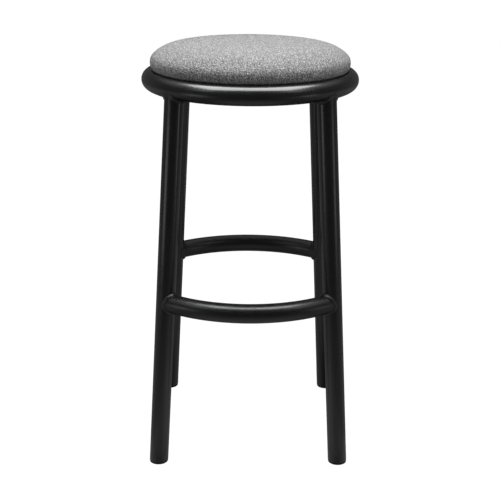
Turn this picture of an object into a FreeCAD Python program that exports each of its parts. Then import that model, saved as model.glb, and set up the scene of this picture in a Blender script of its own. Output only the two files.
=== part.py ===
"""Bar stool with a round upholstered seat and bowed footrest bars.

Four straight legs of round tube splay out from a ring of the same tube. A bowed bar joins the two
front legs and another joins the two rear legs. A cushion on a round board is screwed to four lugs
inside the ring. Millimetres, +Z up, the front faces -Y, and the origin is on the floor below the
centre of the ring.
"""

import FreeCAD, Part
import Sketcher
import math
import os

os.makedirs("parts", exist_ok=True)
doc = FreeCAD.newDocument("bar_stool")

# ---------------------------------------------------------------- driving dimensions

DIMENSIONS = [
    ("tube_diameter", 35, "outer diameter of every tube in the frame"),
    ("tube_wall", 2, "wall thickness of every tube"),
    ("ring_radius", 182.5, "centre line of the seat ring"),
    ("ring_height", 700, "height of the ring's centre line"),
    ("leg_top_x", 132, "leg axis at the height of the ring"),
    ("leg_top_y", 126, "leg axis at the height of the ring"),
    ("leg_foot_x", 169, "leg axis at the floor"),
    ("leg_foot_y", 167.5, "leg axis at the floor"),
    ("bar_height", 314, "height of the footrest bars' centre line"),
    ("bar_apex_y", 205.25, "furthest reach of a bar's centre line"),
    ("bar_inset", 1, "a bar's centre line passes this far inside its legs' axes"),
    ("end_setback", 6, "a coped leg stops this far short of the ring's centre line"),
    ("bar_setback", 3, "a coped bar stops this far short of its leg's axis"),
    ("vent_diameter", 6, "vent hole in the ring above each leg"),
    ("weld_reach", 4.8, "from the line of a weld to each of its toes"),
    ("weld_bulge", 1.1, "how far a weld's face stands out between its toes"),
    ("weld_seat", 0.4, "the line of a weld, outside the tube that is met"),
    ("weld_inset", 0.8, "the line of a weld, inside the tube that ends"),
    ("weld_root_gap", 0.02, "between a weld's root and the tubes"),
    ("glide_height", 4, "visible foot of a glide"),
    ("glide_diameter", 34.2, "foot of a glide, a step inside the tube"),
    ("glide_rounding", 1.4, "bottom edge of a glide"),
    ("plug_diameter", 27, "core of a glide's plug"),
    ("plug_bore", 20, "hollow of a glide's plug"),
    ("plug_length", 24, "length of a glide's plug along the leg"),
    ("rib_diameter", 30.7, "ribs that grip the tube's bore"),
    ("rib_width", 1.6, "width of a rib"),
    ("rib_pitch", 6, "distance from rib to rib"),
    ("lug_bottom", 705, "underside of the seat lugs"),
    ("lug_thickness", 4, "lug plate"),
    ("lug_width", 30, "lug plate"),
    ("lug_outer", 177, "radius at which a lug ends over the ring"),
    ("lug_weld_radius", 2.2, "round section of the bead under a lug"),
    ("fixing_radius", 140, "pitch radius of the four seat screws"),
    ("fixing_count", 4, "seat screws"),
    ("lug_hole", 7, "hole in a lug"),
    ("board_bottom", 711, "underside of the seat board"),
    ("board_thickness", 12, "plywood"),
    ("board_radius", 161, "plywood disc"),
    ("board_rounding", 2, "rounded rim of the board"),
    ("nut_barrel", 8, "barrel of an insert nut"),
    ("nut_length", 10, "length of an insert nut"),
    ("nut_flange", 19, "flange of an insert nut"),
    ("nut_flange_depth", 1.5, "flange thickness"),
    ("nut_bore", 6.2, "threaded bore, without its thread"),
    ("screw_diameter", 5.9, "screw shank, without its thread"),
    ("screw_length", 14, "from under the head"),
    ("screw_head", 11, "head diameter"),
    ("screw_head_height", 3.3, "head height"),
    ("screw_head_rounding", 1.4, "rounded edge of the head"),
    ("socket_flats", 4, "hexagon socket, across flats"),
    ("socket_depth", 2, "hexagon socket"),
    ("washer_diameter", 14, "washer"),
    ("washer_bore", 6.5, "washer"),
    ("washer_thickness", 1.5, "washer"),
    ("cushion_radius", 184.4, "widest radius of the covered cushion"),
    ("cushion_waist", 732, "height at which the cushion is widest"),
    ("cushion_top", 767, "crown of the cushion"),
    ("cushion_bottom", 709.8, "underside of the cover's hem"),
    ("edge_radius", 16, "cushion profile just above its widest line"),
    ("shoulder_radius", 72, "cushion profile between edge and crown"),
    ("crown_radius", 2500, "slow dome of the cushion's middle"),
    ("flank_radius", 38, "cushion profile below its widest line"),
    ("hem_rounding", 3, "the cover's corners above the ring and under the board"),
    ("ring_gap", 1.3, "between the ring and the hollow in the cushion that fits over it"),
    ("cover_thickness", 1.2, "woven cover"),
    ("foam_inset", 1.4, "foam below the cover's outer face"),
    ("foam_clearance", 0.3, "foam to board"),
    ("hem_inner_radius", 146, "where the hem ends under the board"),
    ("dust_radius", 158, "dust cover"),
    ("dust_thickness", 0.8, "dust cover"),
    ("dust_hole", 8, "holes in the dust cover for the screws"),
    ("staple_crown", 10, "staple crown, across"),
    ("staple_wire", 0.6, "thickness of the flat staple wire"),
    ("staple_width", 1.2, "width of the flat staple wire"),
    ("staple_leg", 7, "staple leg"),
    ("hem_staple_radius", 150.5, "ring of staples in the hem"),
    ("hem_staple_count", 36, "staples in the hem"),
    ("dust_staple_radius", 154.5, "ring of staples in the dust cover"),
    ("dust_staple_count", 20, "staples in the dust cover"),
]

sizes = doc.addObject("Spreadsheet::Sheet", "sizes")
for row, (alias, value, meaning) in enumerate(DIMENSIONS, start=1):
    sizes.set(f"A{row}", alias)
    sizes.set(f"B{row}", str(value))
    sizes.set(f"C{row}", meaning)
    sizes.setAlias(f"B{row}", alias)
doc.recompute()


def size(alias):
    """The value of one cell, for shapes that are worked out in code."""
    return float(sizes.get(alias))


# ---------------------------------------------------------------- helpers

FRONT = -1
REAR = 1
LEFT = -1
RIGHT = 1
CORNERS = {
    "front_left": (LEFT, FRONT),
    "front_right": (RIGHT, FRONT),
    "rear_left": (LEFT, REAR),
    "rear_right": (RIGHT, REAR),
}
ENDS = {"front": FRONT, "rear": REAR}
LUG_ANGLES = {"front": 270, "right": 0, "rear": 90, "left": 180}
FLOOR_BLOCK = 600          # side of the block that trims what is below a level cut
FLOOR_DEPTH = 60           # its depth

nodes = {}


def keep(label, shape_object):
    """Make an object the node that is written under its label."""
    shape_object.Label = label
    nodes[label] = shape_object
    return shape_object


def bind(target, **expressions):
    """Bind properties to expressions: double underscores stand for dots."""
    for name, expression in expressions.items():
        target.setExpression(name.replace("__", "."), str(expression))


def new_body(label):
    body = doc.addObject("PartDesign::Body", label)
    body.AllowCompound = True
    return body


def origin_feature(body, role):
    return next(item for item in body.Origin.OriginFeatures if item.Role == role)


def new_sketch(body, name, plane, height=None):
    """A sketch on an origin plane of its own body, lifted to a height along the plane's normal."""
    sketch = body.newObject("Sketcher::SketchObject", name)
    sketch.AttachmentSupport = [(origin_feature(body, plane), "")]
    sketch.MapMode = "FlatFace"
    if height is not None:
        bind(sketch, AttachmentOffset__Base__z=height)
    return sketch


def value_of(expression):
    """The number that an expression gives now, so that a sketch is drawn where it ends up."""
    result = sizes.evalExpression(str(expression))
    return float(getattr(result, "Value", result))


def bind_datum(sketch, expression, kind, *places):
    """A dimension of a sketch, drawn at its value and bound to its expression."""
    index = sketch.addConstraint(Sketcher.Constraint(kind, *places, value_of(expression)))
    sketch.setExpression(f"Constraints[{index}]", str(expression))


def pin_point(sketch, geometry, point, x=None, y=None):
    """Bind a point of the sketch to coordinates from its origin; None leaves one free."""
    for kind, expression, axis in (("DistanceX", x, -2), ("DistanceY", y, -1)):
        if expression == "0":
            sketch.addConstraint(Sketcher.Constraint("PointOnObject", geometry, point, axis))
        elif expression is not None:
            bind_datum(sketch, expression, kind, -1, 1, geometry, point)


def add_circle(sketch, radius, x="0", y="0"):
    """A circle whose centre and radius are expressions."""
    centre = FreeCAD.Vector(value_of(x), value_of(y), 0)
    circle = Part.Circle(centre, FreeCAD.Vector(0, 0, 1), value_of(radius))
    geometry = sketch.addGeometry(circle)
    pin_point(sketch, geometry, 3, x=x, y=y)
    bind_datum(sketch, radius, "Radius", geometry)


def add_outline(sketch, points):
    """A closed outline of straight lines through points given as pairs of expressions."""
    corners = [FreeCAD.Vector(value_of(x), value_of(y), 0) for x, y in points]
    lines = [
        sketch.addGeometry(Part.LineSegment(start, end))
        for start, end in zip(corners, corners[1:] + corners[:1])
    ]
    for line, (x, y) in zip(lines, points):
        pin_point(sketch, line, 1, x=x, y=y)
    for line, following in zip(lines, lines[1:] + lines[:1]):
        sketch.addConstraint(Sketcher.Constraint("Coincident", line, 2, following, 1))


def add_pad(body, sketch, length, reverse=False):
    pad = body.newObject("PartDesign::Pad", body.Name + "_pad")
    pad.Profile = sketch
    pad.Reversed = reverse
    bind(pad, Length=length)
    return pad


def add_pocket(body, sketch, depth, reverse=False):
    pocket = body.newObject("PartDesign::Pocket", body.Name + "_pocket")
    pocket.Profile = sketch
    pocket.Reversed = reverse
    bind(pocket, Length=depth)
    return pocket


def add_revolution(body, sketch, angle="360", kind="Revolution"):
    turned = body.newObject("PartDesign::" + kind, body.Name + "_" + kind.lower())
    turned.Profile = sketch
    turned.ReferenceAxis = (sketch, ["V_Axis"])
    bind(turned, Angle=angle)
    return turned


def add_polar(body, features, count):
    """Repeat features round the body's upright axis."""
    pattern = body.newObject("PartDesign::PolarPattern", body.Name + "_pattern")
    pattern.Originals = features
    pattern.Axis = (origin_feature(body, "Z_Axis"), [""])
    pattern.Angle = 360
    bind(pattern, Occurrences=count)
    body.Tip = pattern
    return pattern


def cut(base, tool, label):
    result = doc.addObject("Part::Cut", label)
    result.Base = base
    result.Tool = tool
    return result


def cut_all(base, tools, label):
    result = base
    for number, tool in enumerate(tools, start=1):
        result = cut(result, tool, f"{label}_cut_{number}")
    return result


# ---------------------------------------------------------------- frame: where the tubes run

TUBE = "sizes.tube_diameter / 2"
BORE = "(sizes.tube_diameter / 2 - sizes.tube_wall)"
RUN_X = "(sizes.leg_foot_x - sizes.leg_top_x)"
RUN_Y = "(sizes.leg_foot_y - sizes.leg_top_y)"
SPLAY = f"atan(sqrt({RUN_X}^2 + {RUN_Y}^2) / sizes.ring_height)"
BAR_LEG_X = f"(sizes.leg_foot_x - {RUN_X} * sizes.bar_height / sizes.ring_height)"
BAR_LEG_Y = f"(sizes.leg_foot_y - {RUN_Y} * sizes.bar_height / sizes.ring_height)"
BAR_SAG = f"(sizes.bar_apex_y - {BAR_LEG_Y})"
BAR_RADIUS = (
    f"(({BAR_LEG_X}^2 + {BAR_SAG}^2 - sizes.bar_inset^2) / (2 * ({BAR_SAG} + sizes.bar_inset)))"
)
BAR_LEG_RADIUS = f"({BAR_RADIUS} + sizes.bar_inset)"
BAR_SETBACK = f"(sizes.bar_setback / {BAR_LEG_RADIUS} * 180 / pi)"
BAR_HALF_ANGLE = f"(asin({BAR_LEG_X} / {BAR_LEG_RADIUS}) / 1deg - {BAR_SETBACK})"


def place_along_leg(target, corner, height):
    """Put an object's upright axis on a leg's axis, with its base at a height."""
    side, end = CORNERS[corner]
    drop = f"(1 - ({height}) / sizes.ring_height)"
    bind(
        target,
        Placement__Base__x=f"{side} * (sizes.leg_top_x + {RUN_X} * {drop})",
        Placement__Base__y=f"{end} * (sizes.leg_top_y + {RUN_Y} * {drop})",
        Placement__Base__z=height,
        Placement__Rotation__Axis__x=f"{end} * {RUN_Y}",
        Placement__Rotation__Axis__y=f"{-side} * {RUN_X}",
        Placement__Rotation__Axis__z="0",
        Placement__Rotation__Angle=SPLAY,
    )


def place_bar(target, end, half_angle):
    """Put an arc that starts at its own X axis where a footrest bar runs."""
    bind(
        target,
        Placement__Base__y=f"{end} * (sizes.bar_apex_y - {BAR_RADIUS})",
        Placement__Base__z="sizes.bar_height",
        Placement__Rotation__Angle=f"{90 * end} - {half_angle}",
    )


def make_ring_solid():
    """The ring as a solid bar, used to cope what meets it."""
    ring = doc.addObject("Part::Torus", "ring_solid")
    bind(ring, Radius1="sizes.ring_radius", Radius2=TUBE, Placement__Base__z="sizes.ring_height")
    return ring


def make_leg_solid(corner):
    """A leg as a solid bar that reaches past both its ends, used to cope what meets it."""
    leg = doc.addObject("Part::Cylinder", "leg_solid_" + corner)
    bind(leg, Radius=TUBE, Height="sizes.ring_height + sizes.tube_diameter")
    place_along_leg(leg, corner, "-sizes.tube_diameter / 2")
    return leg


def make_block_below(height, label):
    """A block whose top face is a level cut at a height."""
    block = doc.addObject("Part::Box", label)
    bind(
        block,
        Length=FLOOR_BLOCK,
        Width=FLOOR_BLOCK,
        Height=FLOOR_DEPTH,
        Placement__Base__x=-FLOOR_BLOCK / 2,
        Placement__Base__y=-FLOOR_BLOCK / 2,
        Placement__Base__z=f"{height} - {FLOOR_DEPTH}",
    )
    return block


def make_seat_ring():
    """The ring: a tube turned round the stool's axis, with a vent hole down into each leg."""
    body = new_body("seat_ring")
    section = new_sketch(body, "seat_ring_section", "XZ_Plane")
    add_circle(section, TUBE, x="sizes.ring_radius")
    add_circle(section, BORE, x="sizes.ring_radius")
    add_revolution(body, section)
    vents = new_sketch(body, "seat_ring_vents", "XY_Plane")
    for side, end in CORNERS.values():
        add_circle(
            vents, "sizes.vent_diameter / 2", x=f"{side} * sizes.leg_top_x", y=f"{end} * sizes.leg_top_y"
        )
    add_pocket(body, vents, "sizes.tube_diameter")
    bind(body, Placement__Base__z="sizes.ring_height")
    return keep("seat_ring", body)


def make_leg(corner, ring_solid, tube_floor):
    """A straight tube, coped to the ring at its top and cut level above its glide."""
    body = new_body("leg_tube_" + corner)
    section = new_sketch(body, "leg_section_" + corner, "XY_Plane")
    add_circle(section, TUBE)
    add_circle(section, BORE)
    start = "sizes.glide_height - sizes.tube_diameter / 2"
    add_pad(body, section, f"(sizes.ring_height - ({start})) / cos({SPLAY}) - sizes.end_setback")
    place_along_leg(body, corner, start)
    return keep("leg_" + corner, cut_all(body, [ring_solid, tube_floor], "leg_" + corner))


def make_footrest_bar(end_name, end, leg_solids):
    """A tube bowed outwards from leg to leg, coped to both."""
    label = f"footrest_{end_name}_bar"
    body = new_body(label + "_tube")
    section = new_sketch(body, label + "_section", "XZ_Plane")
    add_circle(section, TUBE, x=BAR_RADIUS)
    add_circle(section, BORE, x=BAR_RADIUS)
    add_revolution(body, section, angle=f"2 * {BAR_HALF_ANGLE}")
    place_bar(body, end, BAR_HALF_ANGLE)
    return keep(label, cut_all(body, leg_solids, label))


# ---------------------------------------------------------------- frame: welds
#
# A tube is known here by a function that gives the point of its centre line nearest to a point.

BEAD_SECTIONS = 32
BISECTIONS = 50
Z_AXIS = FreeCAD.Vector(0, 0, 1)


def straight_tube(base, direction):
    return lambda point: base + direction * (point - base).dot(direction)


def round_tube(centre, radius):
    """A tube bent level round a centre."""

    def nearest(point):
        level = FreeCAD.Vector(point.x - centre.x, point.y - centre.y, 0)
        return centre + level.normalize() * radius

    return nearest


def outward(tube, point):
    return (point - tube(point)).normalize()


def clearance(tube, point):
    return (point - tube(point)).Length - size("tube_diameter") / 2


def onto_surface(tube, point):
    return tube(point) + outward(tube, point) * size("tube_diameter") / 2


def walk_until(position, gap, start, stop):
    """Bisect for the place at which a moving point's gap closes."""
    for _ in range(BISECTIONS):
        middle = (start + stop) / 2
        if gap(position(middle)) > 0:
            start = middle
        else:
            stop = middle
    return position(start)


def leg_line(corner):
    """The foot of a leg's axis and its direction upwards."""
    side, end = CORNERS[corner]
    foot = FreeCAD.Vector(side * size("leg_foot_x"), end * size("leg_foot_y"), 0)
    top = FreeCAD.Vector(side * size("leg_top_x"), end * size("leg_top_y"), size("ring_height"))
    return foot, (top - foot).normalize()


def bar_arc(end):
    """The centre and radius of a footrest bar's centre line, and its turn where it passes a leg."""
    share = size("bar_height") / size("ring_height")
    leg_x = size("leg_foot_x") - (size("leg_foot_x") - size("leg_top_x")) * share
    leg_y = size("leg_foot_y") - (size("leg_foot_y") - size("leg_top_y")) * share
    sag = size("bar_apex_y") - leg_y
    inset = size("bar_inset")
    radius = (leg_x ** 2 + sag ** 2 - inset ** 2) / (2 * (sag + inset))
    centre = FreeCAD.Vector(0, end * (size("bar_apex_y") - radius), size("bar_height"))
    return centre, radius, math.asin(leg_x / (radius + inset))


def weld_section(point, ended, host):
    """The section of a bead at a point of the line where one tube ends on another.

    Its two toes lie on the tubes, its face bulges between them and its root reaches in to the
    first tube that it meets.
    """
    from_ended = outward(ended, point)
    from_host = outward(host, point)
    along_ended = (from_host - from_ended * from_host.dot(from_ended)).normalize()
    along_host = (from_ended - from_host * from_ended.dot(from_host)).normalize()
    ended_toe = onto_surface(ended, point + along_ended * size("weld_reach"))
    host_toe = onto_surface(host, point + along_host * size("weld_reach"))
    open_side = (from_ended + from_host).normalize()
    face = (ended_toe + host_toe) * 0.5 + open_side * size("weld_bulge")
    root = walk_until(
        lambda depth: face - open_side * depth,
        lambda place: min(clearance(ended, place), clearance(host, place)) - size("weld_root_gap"),
        0,
        2 * size("weld_reach"),
    )
    return Part.Wire(
        [
            Part.Arc(ended_toe, face, host_toe).toShape(),
            Part.makeLine(host_toe, root),
            Part.makeLine(root, ended_toe),
        ]
    )


def weld_bead(position, turn_limits, ended, host):
    """A closed bead; position(angle, travel) runs along the ended tube, just under its surface."""
    sections = []
    for step in range(BEAD_SECTIONS):
        angle = 2 * math.pi * step / BEAD_SECTIONS
        point = walk_until(
            lambda travel: position(angle, travel),
            lambda place: clearance(host, place) - size("weld_seat"),
            *turn_limits,
        )
        sections.append(weld_section(point, ended, host))
    return Part.makeLoft(sections, True, False, True)


def make_leg_bead(corner):
    """The bead round a leg's top, under the ring."""
    foot, upward = leg_line(corner)
    across = upward.cross(Z_AXIS).normalize()
    inward = upward.cross(across)
    radius = size("tube_diameter") / 2 - size("weld_inset")

    def position(angle, travel):
        offset = across * math.cos(angle) + inward * math.sin(angle)
        return foot + upward * travel + offset * radius

    limits = (size("ring_height") - size("tube_diameter"), size("ring_height") / upward.z)
    ring = round_tube(FreeCAD.Vector(0, 0, size("ring_height")), size("ring_radius"))
    return weld_bead(position, limits, straight_tube(foot, upward), ring)


def make_bar_bead(corner):
    """The bead round the end of a footrest bar, on its leg."""
    side, end = CORNERS[corner]
    centre, bow, leg_turn = bar_arc(end)
    radius = size("tube_diameter") / 2 - size("weld_inset")

    def position(angle, turn):
        distance = bow + radius * math.cos(angle)
        level = FreeCAD.Vector(side * math.sin(turn), end * math.cos(turn), 0)
        return centre + level * distance + Z_AXIS * radius * math.sin(angle)

    return weld_bead(position, (0, leg_turn), round_tube(centre, bow), straight_tube(*leg_line(corner)))


def make_beads(label, make_bead):
    """The beads of one kind of joint, as a group of separate solids."""
    beads = doc.addObject("Part::Feature", label)
    beads.Shape = Part.makeCompound([make_bead(corner) for corner in CORNERS])
    return keep(label, beads)


# ---------------------------------------------------------------- feet


def make_glide(corner, glide_floor, tube_floor):
    """A plastic glide: a foot that sits on the floor and a ribbed plug inside the tube."""
    foot = doc.addObject("Part::Cylinder", "glide_foot_" + corner)
    bind(foot, Radius="sizes.glide_diameter / 2", Height="sizes.tube_diameter")
    place_along_leg(foot, corner, "-sizes.tube_diameter / 2")
    above_floor = cut(foot, glide_floor, "glide_above_floor_" + corner)
    level_foot = doc.addObject("Part::Common", "glide_level_foot_" + corner)
    level_foot.Base = above_floor
    level_foot.Tool = tube_floor
    doc.recompute()
    rounded = doc.addObject("Part::Fillet", "glide_rounded_" + corner)
    rounded.Base = level_foot
    bottom_edge = next(
        number
        for number, edge in enumerate(level_foot.Shape.Edges, start=1)
        if edge.BoundBox.ZMax < size("glide_height") / 4 and edge.isClosed()
    )
    rounded.Edges = [(bottom_edge, size("glide_rounding"), size("glide_rounding"))]

    plug = new_body("glide_plug_" + corner)
    section = new_sketch(plug, "glide_plug_section_" + corner, "XY_Plane")
    add_circle(section, "sizes.plug_diameter / 2")
    add_pad(plug, section, "sizes.plug_length")
    rib_section = new_sketch(plug, "glide_rib_section_" + corner, "XY_Plane", "sizes.rib_pitch")
    add_circle(rib_section, "sizes.rib_diameter / 2")
    rib = add_pad(plug, rib_section, "sizes.rib_width")
    ribs = plug.newObject("PartDesign::LinearPattern", "glide_ribs_" + corner)
    ribs.Originals = [rib]
    ribs.Direction = (origin_feature(plug, "Z_Axis"), [""])
    ribs.Occurrences = 3
    bind(ribs, Length="2 * sizes.rib_pitch")
    hollow = new_sketch(plug, "glide_hollow_" + corner, "XY_Plane", "sizes.plug_length")
    add_circle(hollow, "sizes.plug_bore / 2")
    add_pocket(plug, hollow, "sizes.plug_length - sizes.rib_pitch")
    place_along_leg(plug, corner, "sizes.glide_height / 2")

    glide = doc.addObject("Part::Fuse", "glide_" + corner)
    glide.Base = rounded
    glide.Tool = plug
    return keep("glide_" + corner, glide)


# ---------------------------------------------------------------- seat fixings


def make_seat_lug(name, angle):
    """A round-ended plate on the inside of the ring, with a hole for a seat screw."""
    label = "seat_lug_" + name
    body = new_body(label)
    outline = new_sketch(body, label + "_outline", "XY_Plane")
    half = size("lug_width") / 2
    centre = size("fixing_radius")
    outer = size("lug_outer")
    corners = [
        FreeCAD.Vector(centre, -half, 0),
        FreeCAD.Vector(outer, -half, 0),
        FreeCAD.Vector(outer, half, 0),
        FreeCAD.Vector(centre, half, 0),
    ]
    sides = [outline.addGeometry(Part.LineSegment(*corners[step:step + 2])) for step in range(3)]
    circle = Part.Circle(FreeCAD.Vector(centre, 0, 0), FreeCAD.Vector(0, 0, 1), half)
    nose = outline.addGeometry(Part.ArcOfCircle(circle, math.pi / 2, 3 * math.pi / 2))
    for first, second in ((sides[0], sides[1]), (sides[1], sides[2])):
        outline.addConstraint(Sketcher.Constraint("Coincident", first, 2, second, 1))
    outline.addConstraint(Sketcher.Constraint("Tangent", sides[2], 2, nose, 1))
    outline.addConstraint(Sketcher.Constraint("Tangent", nose, 2, sides[0], 1))
    outline.addConstraint(Sketcher.Constraint("Horizontal", sides[0]))
    outline.addConstraint(Sketcher.Constraint("Vertical", sides[1]))
    outline.addConstraint(Sketcher.Constraint("PointOnObject", nose, 3, -1))
    pin_point(outline, nose, 3, x="sizes.fixing_radius")
    pin_point(outline, sides[1], 1, x="sizes.lug_outer")
    bind_datum(outline, "sizes.lug_width / 2", "Radius", nose)
    add_circle(outline, "sizes.lug_hole / 2", x="sizes.fixing_radius")
    add_pad(body, outline, "sizes.lug_thickness")
    ring_section = new_sketch(body, label + "_cope", "XZ_Plane")
    add_circle(ring_section, TUBE, x="sizes.ring_radius", y="sizes.ring_height - sizes.lug_bottom")
    add_revolution(body, ring_section, kind="Groove")
    bind(body, Placement__Base__z="sizes.lug_bottom", Placement__Rotation__Angle=angle)
    return keep(label, body)


def make_lug_beads(ring_solid, lugs):
    """A short bead under each lug, in the corner between its plate and the ring."""
    rise = size("lug_bottom") - size("ring_height")
    meeting = size("ring_radius") - math.sqrt((size("tube_diameter") / 2) ** 2 - rise ** 2)
    span = math.degrees((size("lug_width") - 2 * size("lug_weld_radius")) / meeting)
    solids = []
    for name, angle in LUG_ANGLES.items():
        bead = Part.makeTorus(
            meeting,
            size("lug_weld_radius"),
            FreeCAD.Vector(0, 0, size("lug_bottom")),
            FreeCAD.Vector(0, 0, 1),
            0,
            360,
            span,
        )
        bead.rotate(FreeCAD.Vector(0, 0, 0), FreeCAD.Vector(0, 0, 1), angle - span / 2)
        bead = bead.cut(ring_solid.Shape).cut(lugs[name].Shape)
        below = [solid for solid in bead.Solids if solid.CenterOfMass.z < size("lug_bottom")]
        solids.append(max(below, key=lambda solid: solid.Volume))
    beads = doc.addObject("Part::Feature", "lug_weld_beads")
    beads.Shape = Part.makeCompound(solids)
    return keep("lug_weld_beads", beads)


WASHER_BOTTOM = "(sizes.lug_bottom - sizes.washer_thickness)"


def make_screw_washers():
    body = new_body("screw_washers")
    ring = new_sketch(body, "washer_outline", "XY_Plane", WASHER_BOTTOM)
    add_circle(ring, "sizes.washer_diameter / 2", x="sizes.fixing_radius")
    add_circle(ring, "sizes.washer_bore / 2", x="sizes.fixing_radius")
    washer = add_pad(body, ring, "sizes.washer_thickness")
    add_polar(body, [washer], "sizes.fixing_count")
    return keep("screw_washers", body)


def make_seat_screw(angle):
    """One screw, head down: a rounded head with a hexagon socket and a plain shank."""
    label = f"seat_screw_{angle}"
    body = new_body(label)
    head_section = new_sketch(body, label + "_head", "XY_Plane")
    add_circle(head_section, "sizes.screw_head / 2")
    head = add_pad(body, head_section, "sizes.screw_head_height", reverse=True)
    doc.recompute()
    rim = next(
        f"Edge{number}"
        for number, edge in enumerate(head.Shape.Edges, start=1)
        if edge.BoundBox.ZMax < -size("screw_head_height") / 2
    )
    rounding = body.newObject("PartDesign::Fillet", label + "_rounding")
    rounding.Base = (head, [rim])
    bind(rounding, Radius="sizes.screw_head_rounding")
    shank_section = new_sketch(body, label + "_shank", "XY_Plane")
    add_circle(shank_section, "sizes.screw_diameter / 2")
    add_pad(body, shank_section, "sizes.screw_length")
    socket = new_sketch(body, label + "_socket", "XY_Plane", "-sizes.screw_head_height")
    across = "sizes.socket_flats / sqrt(3)"
    add_outline(
        socket,
        [(f"{across} * cos({60 * step}deg)", f"{across} * sin({60 * step}deg)") for step in range(6)],
    )
    add_pocket(body, socket, "sizes.socket_depth", reverse=True)
    bind(
        body,
        Placement__Base__x=f"sizes.fixing_radius * cos({angle}deg)",
        Placement__Base__y=f"sizes.fixing_radius * sin({angle}deg)",
        Placement__Base__z=WASHER_BOTTOM,
    )
    return body


def make_seat_screws():
    screws = doc.addObject("Part::Compound", "seat_screws")
    screws.Links = [make_seat_screw(angle) for angle in LUG_ANGLES.values()]
    return keep("seat_screws", screws)


BOARD_TOP = "(sizes.board_bottom + sizes.board_thickness)"


def make_insert_nuts():
    """Flanged insert nuts, flush with the top of the board."""
    body = new_body("insert_nuts")
    flange_section = new_sketch(body, "nut_flange_outline", "XY_Plane", BOARD_TOP)
    add_circle(flange_section, "sizes.nut_flange / 2", x="sizes.fixing_radius")
    add_circle(flange_section, "sizes.nut_bore / 2", x="sizes.fixing_radius")
    flange = add_pad(body, flange_section, "sizes.nut_flange_depth", reverse=True)
    barrel_section = new_sketch(body, "nut_barrel_outline", "XY_Plane", BOARD_TOP)
    add_circle(barrel_section, "sizes.nut_barrel / 2", x="sizes.fixing_radius")
    add_circle(barrel_section, "sizes.nut_bore / 2", x="sizes.fixing_radius")
    barrel = add_pad(body, barrel_section, "sizes.nut_length", reverse=True)
    add_polar(body, [flange, barrel], "sizes.fixing_count")
    return keep("insert_nuts", body)


# ---------------------------------------------------------------- seat: staples


def make_staples(label, radius, crown_top, count, first_angle):
    """Staples in a circle, crowns down and legs up into the board.

    crown_top is where the crown touches what it holds.
    """
    body = new_body(label)
    crown_sketch = new_sketch(body, label + "_crown", "XY_Plane", f"{crown_top} - sizes.staple_wire")
    inner = f"({radius} - sizes.staple_width / 2)"
    outer = f"({radius} + sizes.staple_width / 2)"
    half = "sizes.staple_crown / 2"
    add_outline(
        crown_sketch,
        [(inner, f"-{half}"), (outer, f"-{half}"), (outer, half), (inner, half)],
    )
    features = [add_pad(body, crown_sketch, "sizes.staple_wire")]
    for side in (-1, 1):
        leg_sketch = new_sketch(body, f"{label}_leg_{side + 1}", "XY_Plane", crown_top)
        tip = f"{side} * {half}"
        root = f"{side} * ({half} - sizes.staple_wire)"
        add_outline(leg_sketch, [(inner, tip), (outer, tip), (outer, root), (inner, root)])
        features.append(add_pad(body, leg_sketch, "sizes.staple_leg"))
    add_polar(body, features, count)
    bind(body, Placement__Rotation__Angle=first_angle)
    return keep(label, body)


# ---------------------------------------------------------------- seat: board and cushion


def make_seat_board(staples):
    """A plywood disc, bored for the insert nuts and pierced by the staples."""
    body = new_body("seat_board_blank")
    disc = new_sketch(body, "board_outline", "XY_Plane", "sizes.board_bottom")
    add_circle(disc, "sizes.board_radius")
    pad = add_pad(body, disc, "sizes.board_thickness")
    doc.recompute()
    rims = [f"Edge{number}" for number, edge in enumerate(pad.Shape.Edges, start=1) if edge.isClosed()]
    rounding = body.newObject("PartDesign::Fillet", "board_rims")
    rounding.Base = (pad, rims)
    bind(rounding, Radius="sizes.board_rounding")
    bores = []
    for name, diameter, depth in (
        ("board_barrel_bore", "sizes.nut_barrel", "sizes.board_thickness + 1"),
        ("board_flange_seat", "sizes.nut_flange", "sizes.nut_flange_depth"),
    ):
        bore = new_sketch(body, name, "XY_Plane", BOARD_TOP)
        add_circle(bore, f"{diameter} / 2", x="sizes.fixing_radius")
        bores.append(add_pocket(body, bore, depth))
    add_polar(body, bores, "sizes.fixing_count")
    return keep("seat_board", cut_all(body, staples, "seat_board"))


def meeting_points(centre_a, gap_a, centre_b, gap_b):
    """The two points at a given distance from each of two centres, in order of radius."""
    between = centre_b - centre_a
    along = (gap_a ** 2 - gap_b ** 2 + between.Length ** 2) / (2 * between.Length)
    aside = math.sqrt(gap_a ** 2 - along ** 2)
    forward = FreeCAD.Vector(between).normalize()
    sideways = FreeCAD.Vector(-forward.y, forward.x, 0)
    found = [centre_a + forward * along + sideways * aside * sign for sign in (-1, 1)]
    return sorted(found, key=lambda point: point.x)


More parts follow.
